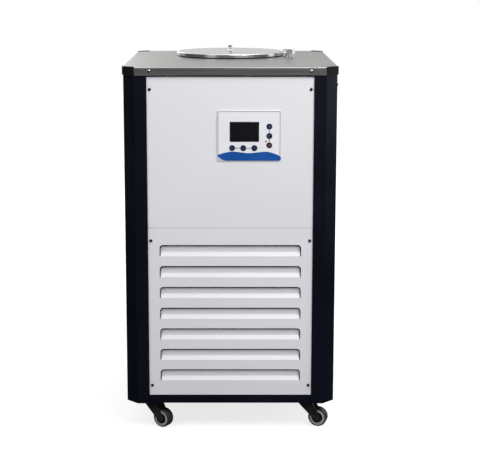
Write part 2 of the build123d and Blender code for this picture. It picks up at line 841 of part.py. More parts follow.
def refrigerant_pipes():
    """The hot pipe from the compressor to the condenser, and the cold one from the coil to the compressor."""
    r = refrigerant_pipe_radius
    x = compressor_x - discharge_offset
    high = compressor_top_z + discharge_rise
    end = condenser_width / 2 + condenser_end
    middle = condenser_y + condenser_thickness / 2
    hot = tube([(x, compressor_y, compressor_top_z), (x, compressor_y, high), (discharge_x, compressor_y, high),
                (discharge_x, middle, high), (end, middle, high)], r, discharge_bend)
    meet = tank_bottom_z + coil_start_rise - coil_tube_radius - seat_gap
    cold = tube([(coil_radius, bath_y, compressor_top_z), (coil_radius, bath_y, meet)], r, discharge_bend)
    return Compound(children=[hot, cold])


# Rear connections

def nozzle(x):
    """A hose nozzle through the rear panel, with a hexagonal shoulder."""
    inner = rear_panel_y - panel_sheet - nozzle_tail
    outer = rear_y + nozzle_reach
    made = shaft(x, nozzle_z, inner, outer, nozzle_radius)
    made = chamfer(made.edges().sort_by(Axis.Y)[-1], length=1)
    made += hexagon(x, nozzle_z, rear_panel_y, rear_panel_y + nozzle_flange_height, nozzle_flats)
    return made - shaft(x, nozzle_z, inner - 1, outer + 1, nozzle_bore)


def drain_valve():
    """The drain's ball valve, with the stem that its lever turns on."""
    inner = rear_panel_y - panel_sheet - nozzle_tail
    outer = rear_y + valve_reach
    start = rear_panel_y + nozzle_flange_height
    body = shaft(drain_x, drain_z, inner, outer, valve_radius - 1)
    body += shaft(drain_x, drain_z, inner, rear_panel_y + 1, valve_radius)
    body += hexagon(drain_x, drain_z, rear_panel_y, start, nozzle_flats)
    body += hexagon(drain_x, drain_z, start, start + valve_body_length, valve_flats)
    body += column(drain_x, start + valve_body_length / 2, drain_z, drain_z + stem_height, stem_radius)
    return body - shaft(drain_x, drain_z, inner - 1, outer + 1, valve_bore)


def drain_lever():
    """The lever, closed across the valve, with a rounded end and a bore for the stem."""
    y = rear_panel_y + nozzle_flange_height + valve_body_length / 2
    low = drain_z + stem_height - lever_sheet
    arm = Pos(-lever_length / 2, 0) * Rectangle(lever_length, lever_width)
    arm += Circle(lever_width / 2 + 1)
    arm += Pos(-lever_length, 0) * Circle(lever_width / 2)
    arm -= Circle(stem_radius + running_gap)
    return Pos(drain_x, y, low) * extrude(arm, amount=lever_sheet)


def power_inlet():
    """The cable gland of the power inlet, left empty."""
    made = shaft(inlet_x, inlet_z, rear_panel_y - panel_sheet - nozzle_tail, rear_panel_y, inlet_radius)
    flange = rear_panel_y + inlet_flange_height
    made += hexagon(inlet_x, inlet_z, rear_panel_y, flange, inlet_flats)
    dome = shaft(inlet_x, inlet_z, flange, flange + inlet_dome_height, inlet_radius + 1.5)
    made += fillet(dome.edges().sort_by(Axis.Y)[-1], radius=inlet_radius / 2)
    inner, outer = rear_panel_y - panel_sheet - nozzle_tail - 1, flange + inlet_dome_height + 1
    return made - shaft(inlet_x, inlet_z, inner, outer, inlet_bore)


def electrical_box():
    """The sheet box of controls behind the display, open at its back."""
    high = top_z - box_drop
    low = high - box_height
    x0, x1 = fascia_x - box_width / 2, fascia_x + box_width / 2
    y0, y1 = panel_back_y, panel_back_y + box_depth
    made = fillet(block(x0, x1, y0, y1, low, high).edges().filter_by(Axis.Y), radius=bend_radius)
    return made - block(x0 + panel_sheet, x1 - panel_sheet, y0 + panel_sheet, y1 + 1,
                        low + panel_sheet, high - panel_sheet)


# Casters

def caster_places():
    """Each caster's name, place and turn. A turn of zero trails to the right."""
    y = half_depth - caster_depth_in
    return [("front_left", -caster_x, -y, front_left_turn), ("front_right", caster_x, -y, front_right_turn),
            ("rear_left", -caster_x, y, rear_left_turn), ("rear_right", caster_x, y, rear_right_turn)]


def caster_plates():
    """The top plates with their ball races, under the floor."""
    low = caster_height - caster_plate_sheet
    outline = fillet(Rectangle(caster_plate_side, caster_plate_side).vertices(), radius=2 * bend_radius)
    made = []
    for _, x, y, _ in caster_places():
        plate = Pos(x, y, low) * extrude(outline, amount=caster_plate_sheet)
        race = column(x, y, low - race_height, low, race_radius)
        plate += chamfer(race.edges().sort_by(Axis.Z)[0], length=2)
        made.append(plate - column(x, y, low - race_height - 1, caster_height - 1, king_radius + running_gap))
    return Compound(children=made)


def caster_fork():
    """A fork that trails along +X from its swivel axis, with its king pin and riveted axle."""
    inner = wheel_width / 2 + fork_side_gap
    outer = inner + fork_sheet
    low = fork_top_z - fork_sheet
    boss = Pos(caster_trail, axle_z) * Circle(fork_boss_radius)
    top = Polyline((-fork_top_radius, low), (-fork_top_radius, fork_top_z), (fork_top_radius, fork_top_z),
                   (fork_top_radius, low))
    side = make_hull([*boss.edges(), *top.edges()])
    leg = extrude(Plane.XZ * side, amount=fork_sheet, dir=(0, 1, 0))
    fork = Pos(0, inner, 0) * leg + Pos(0, -outer, 0) * leg
    fork += block(-fork_top_radius, fork_top_radius, -outer, outer, low, fork_top_z)
    king_top = caster_height - caster_plate_sheet - king_head_height
    fork += column(0, 0, low, king_top, king_radius)
    head = outer + axle_head_height
    fork += shaft(caster_trail, axle_z, -head, head, axle_radius)
    for end in (-1, 1):
        fork += shaft(caster_trail, axle_z, min(end * outer, end * head), max(end * outer, end * head),
                      axle_head_radius)
    return fork


def caster_tyre():
    """The soft tyre, round its hub."""
    half = wheel_width / 2
    tyre = shaft(caster_trail, axle_z, -half, half, wheel_radius)
    tyre = fillet(tyre.edges().filter_by(GeomType.CIRCLE), radius=tyre_edge)
    return tyre - shaft(caster_trail, axle_z, -half - 1, half + 1, hub_radius + press_gap)


def caster_hub():
    """The hub, with a raised rim round a recess on each side."""
    half = wheel_width / 2
    hub = shaft(caster_trail, axle_z, -half, half, hub_radius)
    for end in (-1, 1):
        near, far = end * (half - hub_recess), end * (half + 1)
        hub -= (shaft(caster_trail, axle_z, min(near, far), max(near, far), hub_inner_radius)
                - shaft(caster_trail, axle_z, -half - 2, half + 2, 2 * axle_radius))
    return hub - shaft(caster_trail, axle_z, -half - 1, half + 1, axle_radius + running_gap)


def build():
    """Every piece by its name."""
    upper, lower = front_panels()
    left, right = side_panels()
    pieces = {
        "base_tray": base_tray(), **posts(), "corner_caps": corner_caps(), "top_plate": top_plate(),
        "upper_front_panel": upper, "lower_front_panel": lower,
        "left_side_panel": left, "right_side_panel": right, "rear_panel": rear_panel(),
        "panel_screws": panel_screws(), "skirt_screws": skirt_screws(),
        "bath_lid": bath_lid(), "lid_knob": lid_knob(), "lid_gasket": lid_gasket(),
        "port_neck": port_neck(), "port_plug": port_plug(), "bath_tank": bath_tank(),
        "tank_insulation": tank_insulation(), "evaporator_coil": evaporator_coil(),
        "compressor": compressor(), "compressor_feet": compressor_feet(), "condenser": condenser(),
        "fan_shroud": fan_shroud(), "fan_motor": fan_motor(), "fan_blades": fan_blades(),
        "refrigerant_pipes": refrigerant_pipes(), "circulation_pump": circulation_pump(),
        "pump_motor": pump_motor(), "coolant_pipes": coolant_pipes(),
        "outlet_nozzle": nozzle(pump_x), "return_nozzle": nozzle(return_x),
        "drain_valve": drain_valve(), "drain_lever": drain_lever(), "power_inlet": power_inlet(),
        "electrical_box": electrical_box(), "control_fascia": control_fascia(),
        "display_window": display_window(), "caster_plates": caster_plates(),
    }
    for name, x, z in button_places():
        pieces[name] = button(x, z)
    fork, tyre, hub = caster_fork(), caster_tyre(), caster_hub()
    for name, x, y, turn in caster_places():
        place = Pos(x, y, 0) * Rot(0, 0, turn)
        pieces[f"caster_fork_{name}"] = place * fork
        pieces[f"caster_tyre_{name}"] = place * tyre
        pieces[f"caster_hub_{name}"] = place * hub
    return pieces


os.makedirs("parts", exist_ok=True)
for node, shape in build().items():
    export_step(Pos(0, centre_shift, 0) * shape, f"parts/{node}.step")
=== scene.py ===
# %% [markdown]
# # A low temperature circulator, from bare solids to a finished machine
# The model that we start from is exact but plain: every sheet, caster and pipe is in its place, in metres, and all of
# it is one dull grey. This lesson gives each piece the finish that the real machine has, and adds the small pieces
# that are too fine for the solids.
# %% Load the model
import math
import bmesh
import bpy
from mathutils import Matrix, Vector


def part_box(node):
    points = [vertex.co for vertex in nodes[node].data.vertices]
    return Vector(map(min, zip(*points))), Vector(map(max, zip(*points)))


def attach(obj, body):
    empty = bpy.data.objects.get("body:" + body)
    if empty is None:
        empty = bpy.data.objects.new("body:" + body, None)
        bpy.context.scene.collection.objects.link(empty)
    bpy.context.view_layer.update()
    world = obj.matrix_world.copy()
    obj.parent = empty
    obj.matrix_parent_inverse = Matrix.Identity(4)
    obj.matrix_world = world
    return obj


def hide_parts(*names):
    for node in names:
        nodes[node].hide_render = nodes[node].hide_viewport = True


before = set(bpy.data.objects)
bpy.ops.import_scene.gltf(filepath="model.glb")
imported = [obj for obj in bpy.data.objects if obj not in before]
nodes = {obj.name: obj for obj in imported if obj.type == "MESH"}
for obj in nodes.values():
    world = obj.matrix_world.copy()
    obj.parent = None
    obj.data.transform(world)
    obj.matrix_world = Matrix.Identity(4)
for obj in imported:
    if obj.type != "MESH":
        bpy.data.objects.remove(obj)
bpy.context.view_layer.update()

scene = bpy.context.scene

# %% [markdown]
# ## The camera
# The photograph is taken from the front, a little above the top plate, so the steel top shows as a narrow band and
# the front stays nearly a rectangle. A short lens close by would give the same view with a big lens shift, but a
# shift follows the camera to every other angle, where it pushes the machine out of the picture. So the lens here is
# longer, the camera stands further off and looks down a little, and only a small shift is left.
# %% Place the camera
camera_data = bpy.data.cameras.new("portrait lens")
camera_pitch = 9.96
camera_data.lens = 97.6
camera_data.sensor_width = 36.0
camera_data.shift_x = 0.0202
camera_data.shift_y = -0.09
camera = bpy.data.objects.new("portrait camera", camera_data)
camera.location = (0.0, -3.651, 1.222)
camera.rotation_euler = (math.radians(90 - camera_pitch), 0, 0)
scene.collection.objects.link(camera)
scene.camera = camera
scene.view_settings.view_transform = "Standard"
print("camera", round(camera.location.length, 2), "m from the origin")

# %% [markdown]
# ## A white studio
# The machine stands in front of pure white. Making that white with light would wash the machine out, so the world and
# the floor are simply white where the camera, a mirror or glass looks at them, and the light that reaches the machine
# is set apart from that. Near the machine a part of the floor's brightness is a real diffuse surface, so the shadow
# stays. Further off the floor's own white takes over, so that no horizon shows.
# %% Helpers for node trees
def node(tree, kind, **settings):
    """Add a node, and set any of its properties by name."""
    made = tree.nodes.new(kind)
    for name, value in settings.items():
        setattr(made, name, value)
    return made


def seen_directly(tree):
    """A value that is 1 for camera, mirror and glass rays, and 0 for the rays that only carry light."""
    path = node(tree, "ShaderNodeLightPath")
    both = node(tree, "ShaderNodeMath", operation="MAXIMUM")
    three = node(tree, "ShaderNodeMath", operation="MAXIMUM")
    tree.links.new(path.outputs["Is Camera Ray"], both.inputs[0])
    tree.links.new(path.outputs["Is Glossy Ray"], both.inputs[1])
    tree.links.new(both.outputs[0], three.inputs[0])
    tree.links.new(path.outputs["Is Transmission Ray"], three.inputs[1])
    return three.outputs[0]


# %% The world: white to look at, a soft grey glow to light with
world = bpy.data.worlds.new("studio")
scene.world = world
world.use_nodes = True
sky = world.node_tree
sky.nodes.clear()
glow = node(sky, "ShaderNodeBackground")
glow.inputs["Color"].default_value = (0.95, 0.97, 1.0, 1)
glow.inputs["Strength"].default_value = 0.42
white = node(sky, "ShaderNodeBackground")
white.inputs["Color"].default_value = (1, 1, 1, 1)
white.inputs["Strength"].default_value = 1.0
choose = node(sky, "ShaderNodeMixShader")
sky_out = node(sky, "ShaderNodeOutputWorld")
sky.links.new(seen_directly(sky), choose.inputs["Fac"])
sky.links.new(glow.outputs[0], choose.inputs[1])
sky.links.new(white.outputs[0], choose.inputs[2])
sky.links.new(choose.outputs[0], sky_out.inputs["Surface"])

# %% The floor: mostly its own white, partly a surface that takes the shadow
floor_paint = bpy.data.materials.new("studio floor")
floor_paint.use_nodes = True
tree = floor_paint.node_tree
tree.nodes.clear()
surface = node(tree, "ShaderNodeBsdfDiffuse")
surface.inputs["Color"].default_value = (0.34, 0.34, 0.35, 1)
own_white = node(tree, "ShaderNodeEmission")
together = node(tree, "ShaderNodeAddShader")
brightness = node(tree, "ShaderNodeMath", operation="MULTIPLY")
floor_place = node(tree, "ShaderNodeTexCoord")
away = node(tree, "ShaderNodeVectorMath", operation="LENGTH")
rise = node(tree, "ShaderNodeMapRange", interpolation_type="SMOOTHSTEP")
for label, value in (("From Min", 0.6), ("From Max", 2.6), ("To Min", 0.78), ("To Max", 1.0)):
    rise.inputs[label].default_value = value
tree.links.new(floor_place.outputs["Object"], away.inputs[0])
tree.links.new(away.outputs["Value"], rise.inputs["Value"])
tree.links.new(rise.outputs["Result"], brightness.inputs[1])
out = node(tree, "ShaderNodeOutputMaterial")
tree.links.new(seen_directly(tree), brightness.inputs[0])
tree.links.new(brightness.outputs[0], own_white.inputs["Strength"])
tree.links.new(surface.outputs[0], together.inputs[0])
tree.links.new(own_white.outputs[0], together.inputs[1])
tree.links.new(together.outputs[0], out.inputs["Surface"])

floor_reach = 9.0
plan = bmesh.new()
bmesh.ops.create_grid(plan, x_segments=1, y_segments=1, size=floor_reach)
floor_mesh = bpy.data.meshes.new("studio floor")
plan.to_mesh(floor_mesh)
plan.free()
floor_mesh.materials.append(floor_paint)
floor = bpy.data.objects.new("studio floor", floor_mesh)
scene.collection.objects.link(floor)

# %% [markdown]
# ## Dark flags
# A white room washes out everything glossy and dark: the posts, the window and the keys would mirror the white and turn
# grey. A photographer puts black cloth round the camera for this. Here three curved cloths stand in a wide arc behind
# the camera, the middle one a dark grey that the steel skirt mirrors, and a card covers the floor round the machine.
# Only mirror rays see them, so they darken what shiny paint and steel mirror, and take away no light.
# %% Hang the flags
def flag(name, shape, strength):
    """A dark backdrop that only mirror rays can see."""
    cloth = bpy.data.materials.new(name)
    cloth.use_nodes = True
    cloth.node_tree.nodes.clear()
    glow = node(cloth.node_tree, "ShaderNodeEmission")
    glow.inputs["Color"].default_value = (0.9, 0.94, 1.0, 1)
    glow.inputs["Strength"].default_value = strength
    end = node(cloth.node_tree, "ShaderNodeOutputMaterial")
    cloth.node_tree.links.new(glow.outputs[0], end.inputs["Surface"])
    mesh = bpy.data.meshes.new(name)
    shape.to_mesh(mesh)
    shape.free()
    mesh.materials.append(cloth)
    made = bpy.data.objects.new(name, mesh)
    scene.collection.objects.link(made)
    for kind in ("camera", "diffuse", "transmission", "volume_scatter", "shadow"):
        setattr(made, "visible_" + kind, False)


black_cloth, grey_cloth, black_card = 0.006, 0.15, 0.012
arc_radius, cloth_foot, cloth_head = 5, 0.004, 3.6
for name, first_turn, last_turn, strength in (("right flag", 25, -60, black_cloth),
                                              ("middle flag", -60, -120, grey_cloth),
                                              ("left flag", -120, -205, black_cloth)):
    drum = bmesh.new()
    start = Matrix.Rotation(math.radians(first_turn), 3, "Z")
    foot = drum.verts.new(start @ Vector((arc_radius, 0, cloth_foot)))
    head = drum.verts.new(start @ Vector((arc_radius, 0, cloth_head)))
    strip = drum.edges.new((foot, head))
    bmesh.ops.spin(drum, geom=[foot, head, strip], cent=(0, 0, 0), axis=(0, 0, 1),
                   angle=math.radians(last_turn - first_turn), steps=12)
    flag(name, drum, strength)

card_middle, card_half_sizes = (0, -1.7, 0.003), (4.8, 3.2, 1, 1)
card = bmesh.new()
bmesh.ops.create_grid(card, x_segments=1, y_segments=1, size=1.0,
                      matrix=Matrix.Translation(card_middle) @ Matrix.Diagonal(card_half_sizes))
flag("card flag", card, black_card)

# %% [markdown]
# ## Soft lamps
# Large lamps make soft light. The main one hangs high in front, because the panels are brightest at the top, and to the
# right, because their right half is the brighter one in the photograph. It is near enough for its light to fall off
# down the front. A weaker one stands on the left, one hangs over the top, and two light the rear and the right side.
# %% Place the lamps
def soft_lamp(name, place, target, width, height, watts):
    """A rectangular lamp that faces its target."""
    data = bpy.data.lights.new(name, "AREA")
    data.shape = "RECTANGLE"
    data.size, data.size_y = width, height
    data.energy = watts
    lamp = bpy.data.objects.new(name, data)
    lamp.location = place
    lamp.rotation_euler = (Vector(target) - Vector(place)).to_track_quat("-Z", "Y").to_euler()
    scene.collection.objects.link(lamp)


soft_lamp("key lamp", (1.0, -1.7, 2.5), (0.1, 0, 0.7), 1.3, 1.3, 52)
soft_lamp("fill lamp", (-2.3, -2.6, 1.9), (0, 0, 0.45), 1.4, 1.6, 19)
soft_lamp("top lamp", (0.3, 0.6, 3.0), (0, 0, 0.9), 1.6, 1.6, 24)
soft_lamp("rear lamp", (-1.4, 3.0, 2.0), (0, 0, 0.5), 1.8, 1.8, 48)
soft_lamp("right lamp", (3.0, 0.6, 1.5), (0, 0, 0.5), 1.2, 1.6, 18)

# %% [markdown]
# ## Finishes that several materials share
# Real surfaces are never one flat value. Powder coat has an orange-peel skin, sheet steel carries the lines of its
# brushing, spun steel carries rings, and everything near a floor is a little dusty. Each of these effects is built
# once as a node group that puts out a mask or a height, and each material then uses it with values of its own. One
# more group tells how far a point is from an axle, for the black bearings in the grey wheels.
# %% A helper that starts a node group
def new_group(name, inputs, outputs):
    """A shader group with the given sockets, as (name, kind, value) and (name, kind)."""
    group = bpy.data.node_groups.new(name, "ShaderNodeTree")
    for label, kind, value in inputs:
        group.interface.new_socket(label, in_out="INPUT", socket_type=kind).default_value = value
    for label, kind in outputs:
        group.interface.new_socket(label, in_out="OUTPUT", socket_type=kind)
    return group, node(group, "NodeGroupInput"), node(group, "NodeGroupOutput")


# %% Skin: the fine bumps of paint or moulded plastic, and a slow drift of tone
skin, skin_in, skin_out = new_group(
    "skin", [("Bumps", "NodeSocketFloat", 900.0), ("Drift", "NodeSocketFloat", 5.0)],
    [("Height", "NodeSocketFloat"), ("Tone", "NodeSocketFloat")])
place = node(skin, "ShaderNodeTexCoord")
bumps = node(skin, "ShaderNodeTexNoise")
bumps.inputs["Detail"].default_value = 2.0
drift = node(skin, "ShaderNodeTexNoise")
drift.inputs["Detail"].default_value = 5.0
spread = node(skin, "ShaderNodeMapRange")
spread.inputs["From Min"].default_value = 0.32
spread.inputs["From Max"].default_value = 0.68
skin.links.new(place.outputs["Object"], bumps.inputs["Vector"])
skin.links.new(place.outputs["Object"], drift.inputs["Vector"])
skin.links.new(skin_in.outputs["Bumps"], bumps.inputs["Scale"])
skin.links.new(skin_in.outputs["Drift"], drift.inputs["Scale"])
skin.links.new(drift.outputs["Fac"], spread.inputs["Value"])
skin.links.new(bumps.outputs["Fac"], skin_out.inputs["Height"])
skin.links.new(spread.outputs["Result"], skin_out.inputs["Tone"])

# %% Brushing: a noise drawn out long along one axis
brushing, brushing_in, brushing_out = new_group(
    "brushing", [("Stretch", "NodeSocketVector", (6.0, 900.0, 900.0))],
    [("Height", "NodeSocketFloat"), ("Tone", "NodeSocketFloat")])
place = node(brushing, "ShaderNodeTexCoord")
stretch = node(brushing, "ShaderNodeMapping", vector_type="POINT")
lines = node(brushing, "ShaderNodeTexNoise")
lines.inputs["Scale"].default_value = 1.0
lines.inputs["Detail"].default_value = 3.0
spread = node(brushing, "ShaderNodeMapRange")
spread.inputs["From Min"].default_value = 0.3
spread.inputs["From Max"].default_value = 0.7
brushing.links.new(place.outputs["Object"], stretch.inputs["Vector"])
brushing.links.new(brushing_in.outputs["Stretch"], stretch.inputs["Scale"])
brushing.links.new(stretch.outputs["Vector"], lines.inputs["Vector"])
brushing.links.new(lines.outputs["Fac"], spread.inputs["Value"])
brushing.links.new(lines.outputs["Fac"], brushing_out.inputs["Height"])
brushing.links.new(spread.outputs["Result"], brushing_out.inputs["Tone"])

# %% Turning rings: a noise of the distance from an axis, as a lathe or a spinning tool leaves
turning, turning_in, turning_out = new_group(
    "turning rings", [("Centre", "NodeSocketVector", (0.0, 0.0, 0.0)),
                      ("Flatten", "NodeSocketVector", (1.0, 1.0, 0.0)),
                      ("Density", "NodeSocketFloat", 1200.0)],
    [("Height", "NodeSocketFloat"), ("Tone", "NodeSocketFloat")])
place = node(turning, "ShaderNodeTexCoord")
centred = node(turning, "ShaderNodeVectorMath", operation="SUBTRACT")
flattened = node(turning, "ShaderNodeVectorMath", operation="MULTIPLY")
radius = node(turning, "ShaderNodeVectorMath", operation="LENGTH")
rings = node(turning, "ShaderNodeTexNoise", noise_dimensions="1D")
rings.inputs["Detail"].default_value = 3.0
turning.links.new(place.outputs["Object"], centred.inputs[0])
turning.links.new(turning_in.outputs["Centre"], centred.inputs[1])
turning.links.new(centred.outputs["Vector"], flattened.inputs[0])
turning.links.new(turning_in.outputs["Flatten"], flattened.inputs[1])
turning.links.new(flattened.outputs["Vector"], radius.inputs[0])
turning.links.new(radius.outputs["Value"], rings.inputs["W"])
turning.links.new(turning_in.outputs["Density"], rings.inputs["Scale"])
spread = node(turning, "ShaderNodeMapRange")
spread.inputs["From Min"].default_value = 0.3
spread.inputs["From Max"].default_value = 0.7
turning.links.new(rings.outputs["Fac"], spread.inputs["Value"])
turning.links.new(rings.outputs["Fac"], turning_out.inputs["Height"])
turning.links.new(spread.outputs["Result"], turning_out.inputs["Tone"])

# %% Dust: thickest at the floor, gone by a given height, and broken up by a noise
dust, dust_in, dust_out = new_group(
    "dust", [("Reach", "NodeSocketFloat", 0.25), ("Amount", "NodeSocketFloat", 0.3)],
    [("Mask", "NodeSocketFloat")])
place = node(dust, "ShaderNodeTexCoord")
apart = node(dust, "ShaderNodeSeparateXYZ")
fall = node(dust, "ShaderNodeMapRange", interpolation_type="SMOOTHSTEP")
fall.inputs["To Min"].default_value = 1.0
fall.inputs["To Max"].default_value = 0.0
patches = node(dust, "ShaderNodeTexNoise")
patches.inputs["Scale"].default_value = 38.0
patches.inputs["Detail"].default_value = 6.0
broken = node(dust, "ShaderNodeMath", operation="MULTIPLY")
scaled = node(dust, "ShaderNodeMath", operation="MULTIPLY")
dust.links.new(place.outputs["Object"], apart.inputs[0])
dust.links.new(apart.outputs["Z"], fall.inputs["Value"])
dust.links.new(dust_in.outputs["Reach"], fall.inputs["From Max"])
dust.links.new(place.outputs["Object"], patches.inputs["Vector"])
dust.links.new(fall.outputs["Result"], broken.inputs[0])
dust.links.new(patches.outputs["Fac"], broken.inputs[1])
dust.links.new(broken.outputs[0], scaled.inputs[0])
dust.links.new(dust_in.outputs["Amount"], scaled.inputs[1])
dust.links.new(scaled.outputs[0], dust_out.inputs["Mask"])

# %% Bearing mask: 1 within a radius of an axle, whose direction is a unit vector
bearing, bearing_in, bearing_out = new_group(
    "bearing mask", [("Centre", "NodeSocketVector", (0.0, 0.0, 0.0)), ("Axis", "NodeSocketVector", (0.0, 1.0, 0.0)),
                     ("Radius", "NodeSocketFloat", 0.0145)],
    [("Mask", "NodeSocketFloat")])
here = node(bearing, "ShaderNodeTexCoord")
offset = node(bearing, "ShaderNodeVectorMath", operation="SUBTRACT")
across = node(bearing, "ShaderNodeVectorMath", operation="CROSS_PRODUCT")
distance = node(bearing, "ShaderNodeVectorMath", operation="LENGTH")
inside = node(bearing, "ShaderNodeMath", operation="LESS_THAN")
bearing.links.new(here.outputs["Object"], offset.inputs[0])
bearing.links.new(bearing_in.outputs["Centre"], offset.inputs[1])
bearing.links.new(offset.outputs["Vector"], across.inputs[0])
bearing.links.new(bearing_in.outputs["Axis"], across.inputs[1])
bearing.links.new(across.outputs["Vector"], distance.inputs[0])
bearing.links.new(distance.outputs["Value"], inside.inputs[0])
bearing.links.new(bearing_in.outputs["Radius"], inside.inputs[1])
bearing.links.new(inside.outputs[0], bearing_out.inputs["Mask"])
print(len(bpy.data.node_groups), "shared effects")

# %% [markdown]
# ## A workshop for finishes
# Nearly every finish is a Principled shader with a group or two in front of it. Two helpers keep that short. The
# first makes a material and sets its plain values on the shader itself. The second puts a group in front: its tone
# moves the colour and the roughness between two values, and its height goes through a bump.
# %% Start a material
def plain(name, color, roughness, **sockets):
    """A Principled material. Further sockets are given by name, with _ for a space."""
    made = bpy.data.materials.new(name)
    made.use_nodes = True
    shader = made.node_tree.nodes["Principled BSDF"]
    shader.inputs["Base Color"].default_value = (*color, 1)
    shader.inputs["Roughness"].default_value = roughness
    for label, value in sockets.items():
        shader.inputs[label.replace("_", " ")].default_value = value
    return made


# %% Put a group in front of it
def worked(made, group, bump, depth, colors=None, roughness=None, **values):
    """Drive a material by a group: bump strength and depth, two colours, two roughness values."""
    tree = made.node_tree
    shader = tree.nodes["Principled BSDF"]
    effect = node(tree, "ShaderNodeGroup", node_tree=group)
    for label, value in values.items():
        effect.inputs[label].default_value = value
    relief = node(tree, "ShaderNodeBump")
    relief.inputs["Strength"].default_value = bump
    relief.inputs["Distance"].default_value = depth
    tree.links.new(effect.outputs["Height"], relief.inputs["Height"])
    tree.links.new(relief.outputs["Normal"], shader.inputs["Normal"])
    if colors:
        mix = node(tree, "ShaderNodeMix", data_type="RGBA")
        mix.inputs["A"].default_value = (*colors[0], 1)
        mix.inputs["B"].default_value = (*colors[1], 1)
        tree.links.new(effect.outputs["Tone"], mix.inputs["Factor"])
        tree.links.new(mix.outputs["Result"], shader.inputs["Base Color"])
    if roughness:
        span = node(tree, "ShaderNodeMapRange")
        span.inputs["To Min"].default_value, span.inputs["To Max"].default_value = roughness
        tree.links.new(effect.outputs["Tone"], span.inputs["Value"])
        tree.links.new(span.outputs["Result"], shader.inputs["Roughness"])
    return made


# %% Lay dust over the colour
def dusty(made, color, reach, amount):
    """Mix a dust colour over whatever feeds Base Color now."""
    tree = made.node_tree
    base = tree.nodes["Principled BSDF"].inputs["Base Color"]
    effect = node(tree, "ShaderNodeGroup", node_tree=dust)
    effect.inputs["Reach"].default_value = reach
    effect.inputs["Amount"].default_value = amount
    mix = node(tree, "ShaderNodeMix", data_type="RGBA")
    mix.inputs["A"].default_value = tuple(base.default_value)
    mix.inputs["B"].default_value = (*color, 1)
    if base.is_linked:
        tree.links.new(base.links[0].from_socket, mix.inputs["A"])
    tree.links.new(effect.outputs["Mask"], mix.inputs["Factor"])
    tree.links.new(mix.outputs["Result"], base)
    return made


def wear(made, *names):
    """Give a finished material to solids."""
    for name in names:
        nodes[name].data.materials.clear()
        nodes[name].data.materials.append(made)


# %% [markdown]
# ## Painted sheet
# The posts are folded from thick sheet and powder coated in a navy so deep that it is nearly black. It has a fine
# orange-peel skin and mirrors little, so the posts stay deep and only a touch blue. The front, side and rear panels are
# powder coated in a cool off-white, which is smoother.
# %% Navy frame
navy = plain("navy powder coat", (0.003, 0.0035, 0.009), 0.36, Specular_IOR_Level=0.24,
             Coat_Weight=0.05, Coat_Roughness=0.2)
worked(navy, skin, 0.2, 0.0002, ((0.0024, 0.003, 0.0075), (0.0036, 0.0045, 0.012)), (0.32, 0.42),
       Bumps=700.0, Drift=4.0)
dusty(navy, (0.05, 0.05, 0.05), 0.35, 0.05)
wear(navy, "base_tray", "post_front_left", "post_front_right", "post_rear_left", "post_rear_right")

# %% Off-white panels
off_white = plain("off-white powder coat", (0.78, 0.775, 0.8), 0.42, Specular_IOR_Level=0.4)
worked(off_white, skin, 0.12, 0.0002, ((0.765, 0.762, 0.79), (0.795, 0.79, 0.81)), (0.38, 0.48),
       Bumps=800.0, Drift=3.0)
dusty(off_white, (0.42, 0.41, 0.4), 0.2, 0.12)
wear(off_white, "upper_front_panel", "lower_front_panel", "left_side_panel", "right_side_panel", "rear_panel")

# %% [markdown]
# ## Stainless steel
# The top plate is sheet with a brushed grain that runs from left to right, so its reflections are smeared from front to
# back. The lid and the bath are spun on a lathe, which leaves rings round the axis instead. The rings are a noise of
# the distance from that axis, so they need its place, which the lid's own box gives. Bare steel brightens where it is
# seen at a low angle, and a darker Specular Tint holds that back on the top plate, which is seen nearly edge on.
# %% Top plate
sheet_steel = plain("brushed stainless", (0.4, 0.4, 0.39), 0.34, Metallic=1.0, Specular_Tint=(0.45, 0.45, 0.45, 1))
worked(sheet_steel, brushing, 0.12, 0.0001, ((0.34, 0.34, 0.33), (0.46, 0.46, 0.45)), (0.28, 0.42),
       Stretch=(5.0, 700.0, 700.0))
wear(sheet_steel, "top_plate")

# %% Lid and bath
lid_low, lid_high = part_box("bath_lid")
lid_centre = (lid_low + lid_high) / 2
spun_steel = plain("spun stainless", (0.56, 0.56, 0.55), 0.22, Metallic=1.0, Specular_Tint=(0.7, 0.7, 0.7, 1))
worked(spun_steel, turning, 0.08, 0.0001, ((0.5, 0.5, 0.49), (0.62, 0.62, 0.61)), (0.16, 0.28),
       Centre=tuple(lid_centre), Density=900.0)
wear(spun_steel, "bath_lid", "bath_tank")
print("lid centre", [round(c, 4) for c in lid_centre], "across", round(lid_high.x - lid_low.x, 4))

# %% [markdown]
# ## Bright plating and small steel
# The port beside the lid and the lid's knob are plated. Chrome is nearly a mirror, so what makes it look real is a
# faint cloudiness in its roughness. The screws in the skirt are plain steel.
# %% Chrome
chrome = plain("chrome plate", (0.8, 0.8, 0.81), 0.08, Metallic=1.0)
worked(chrome, skin, 0.03, 0.0001, ((0.74, 0.74, 0.75), (0.84, 0.84, 0.85)), (0.05, 0.14), Bumps=500.0, Drift=60.0)
wear(chrome, "lid_knob", "port_neck", "port_plug")

# %% Screws
black_screw = plain("blackened steel", (0.02, 0.02, 0.022), 0.38, Metallic=0.6)
worked(black_screw, skin, 0.1, 0.0001, ((0.012, 0.012, 0.014), (0.03, 0.03, 0.032)), (0.3, 0.46),
       Bumps=1500.0, Drift=300.0)
wear(black_screw, "panel_screws")
bright_screw = plain("bright screw steel", (0.6, 0.6, 0.6), 0.25, Metallic=1.0)
worked(bright_screw, skin, 0.08, 0.0001, ((0.5, 0.5, 0.5), (0.68, 0.68, 0.67)), (0.2, 0.34),
       Bumps=1500.0, Drift=300.0)
wear(bright_screw, "skirt_screws")

